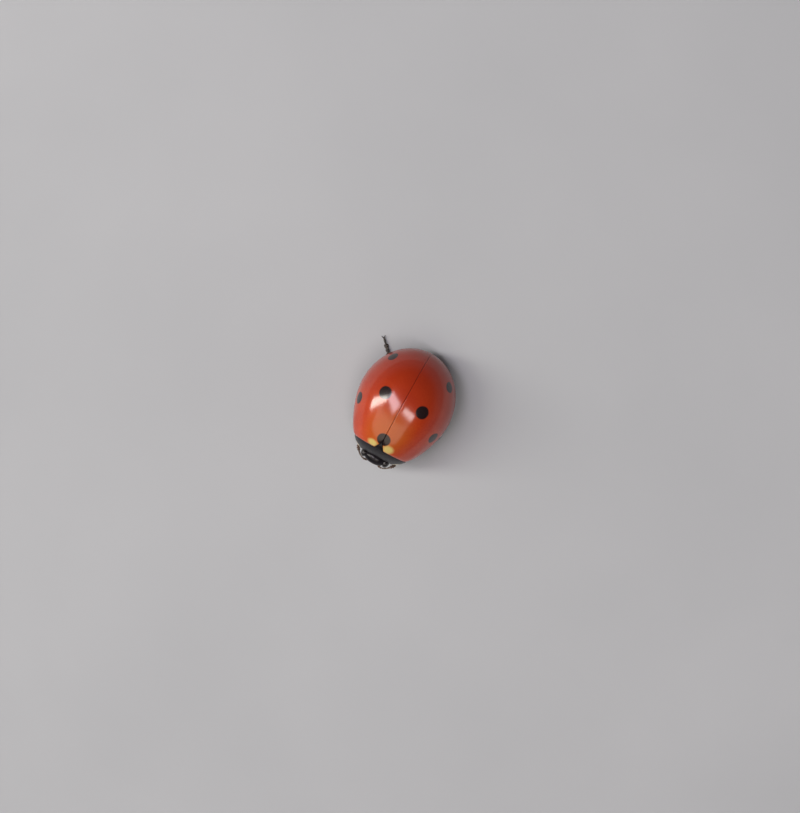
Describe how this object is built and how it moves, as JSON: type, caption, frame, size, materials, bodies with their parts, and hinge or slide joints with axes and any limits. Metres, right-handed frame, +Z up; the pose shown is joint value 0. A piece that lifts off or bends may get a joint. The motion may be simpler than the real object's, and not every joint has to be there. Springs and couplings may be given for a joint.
{
  "type": "seven-spot ladybird",
  "caption": "Ladybird as a still, life-size museum-like model: domed red wing cases with black spots, black pronotum and head, feelers and legs standing on small flat soles.",
  "frame": {"origin": "middle of the bounding box on the floor that the feet stand on", "axes": "+Y from head to rear, +X to the ladybird's own left, +Z up"},
  "size_m": [0.0058, 0.0071, 0.0036],
  "materials": {
    "elytra_red": "glossy horn-like shell, red-orange with black spots and two cream patches at the base",
    "shell_black": "glossy black shell with fine pits and cream corner patches",
    "belly_black": "satin black plates with short pale hairs",
    "eye_black": "glossy black, finely faceted",
    "feeler_brown": "satin brown with a darker club",
    "leg_black": "satin black with short pale hairs and brown claws"
  },
  "bodies": {
    "root": {"abdomen": "belly_black", "antenna_left": "feeler_brown", "antenna_right": "feeler_brown", "elytron_left": "elytra_red", "elytron_right": "elytra_red", "eye_left": "eye_black", "eye_right": "eye_black", "head": "shell_black", "leg_fore_left": "leg_black", "leg_fore_right": "leg_black", "leg_hind_left": "leg_black", "leg_hind_right": "leg_black", "leg_mid_left": "leg_black", "leg_mid_right": "leg_black", "palp_left": "feeler_brown", "palp_right": "feeler_brown", "pronotum": "shell_black", "scutellum": "shell_black", "thorax": "belly_black"}
  },
  "joints": []
}
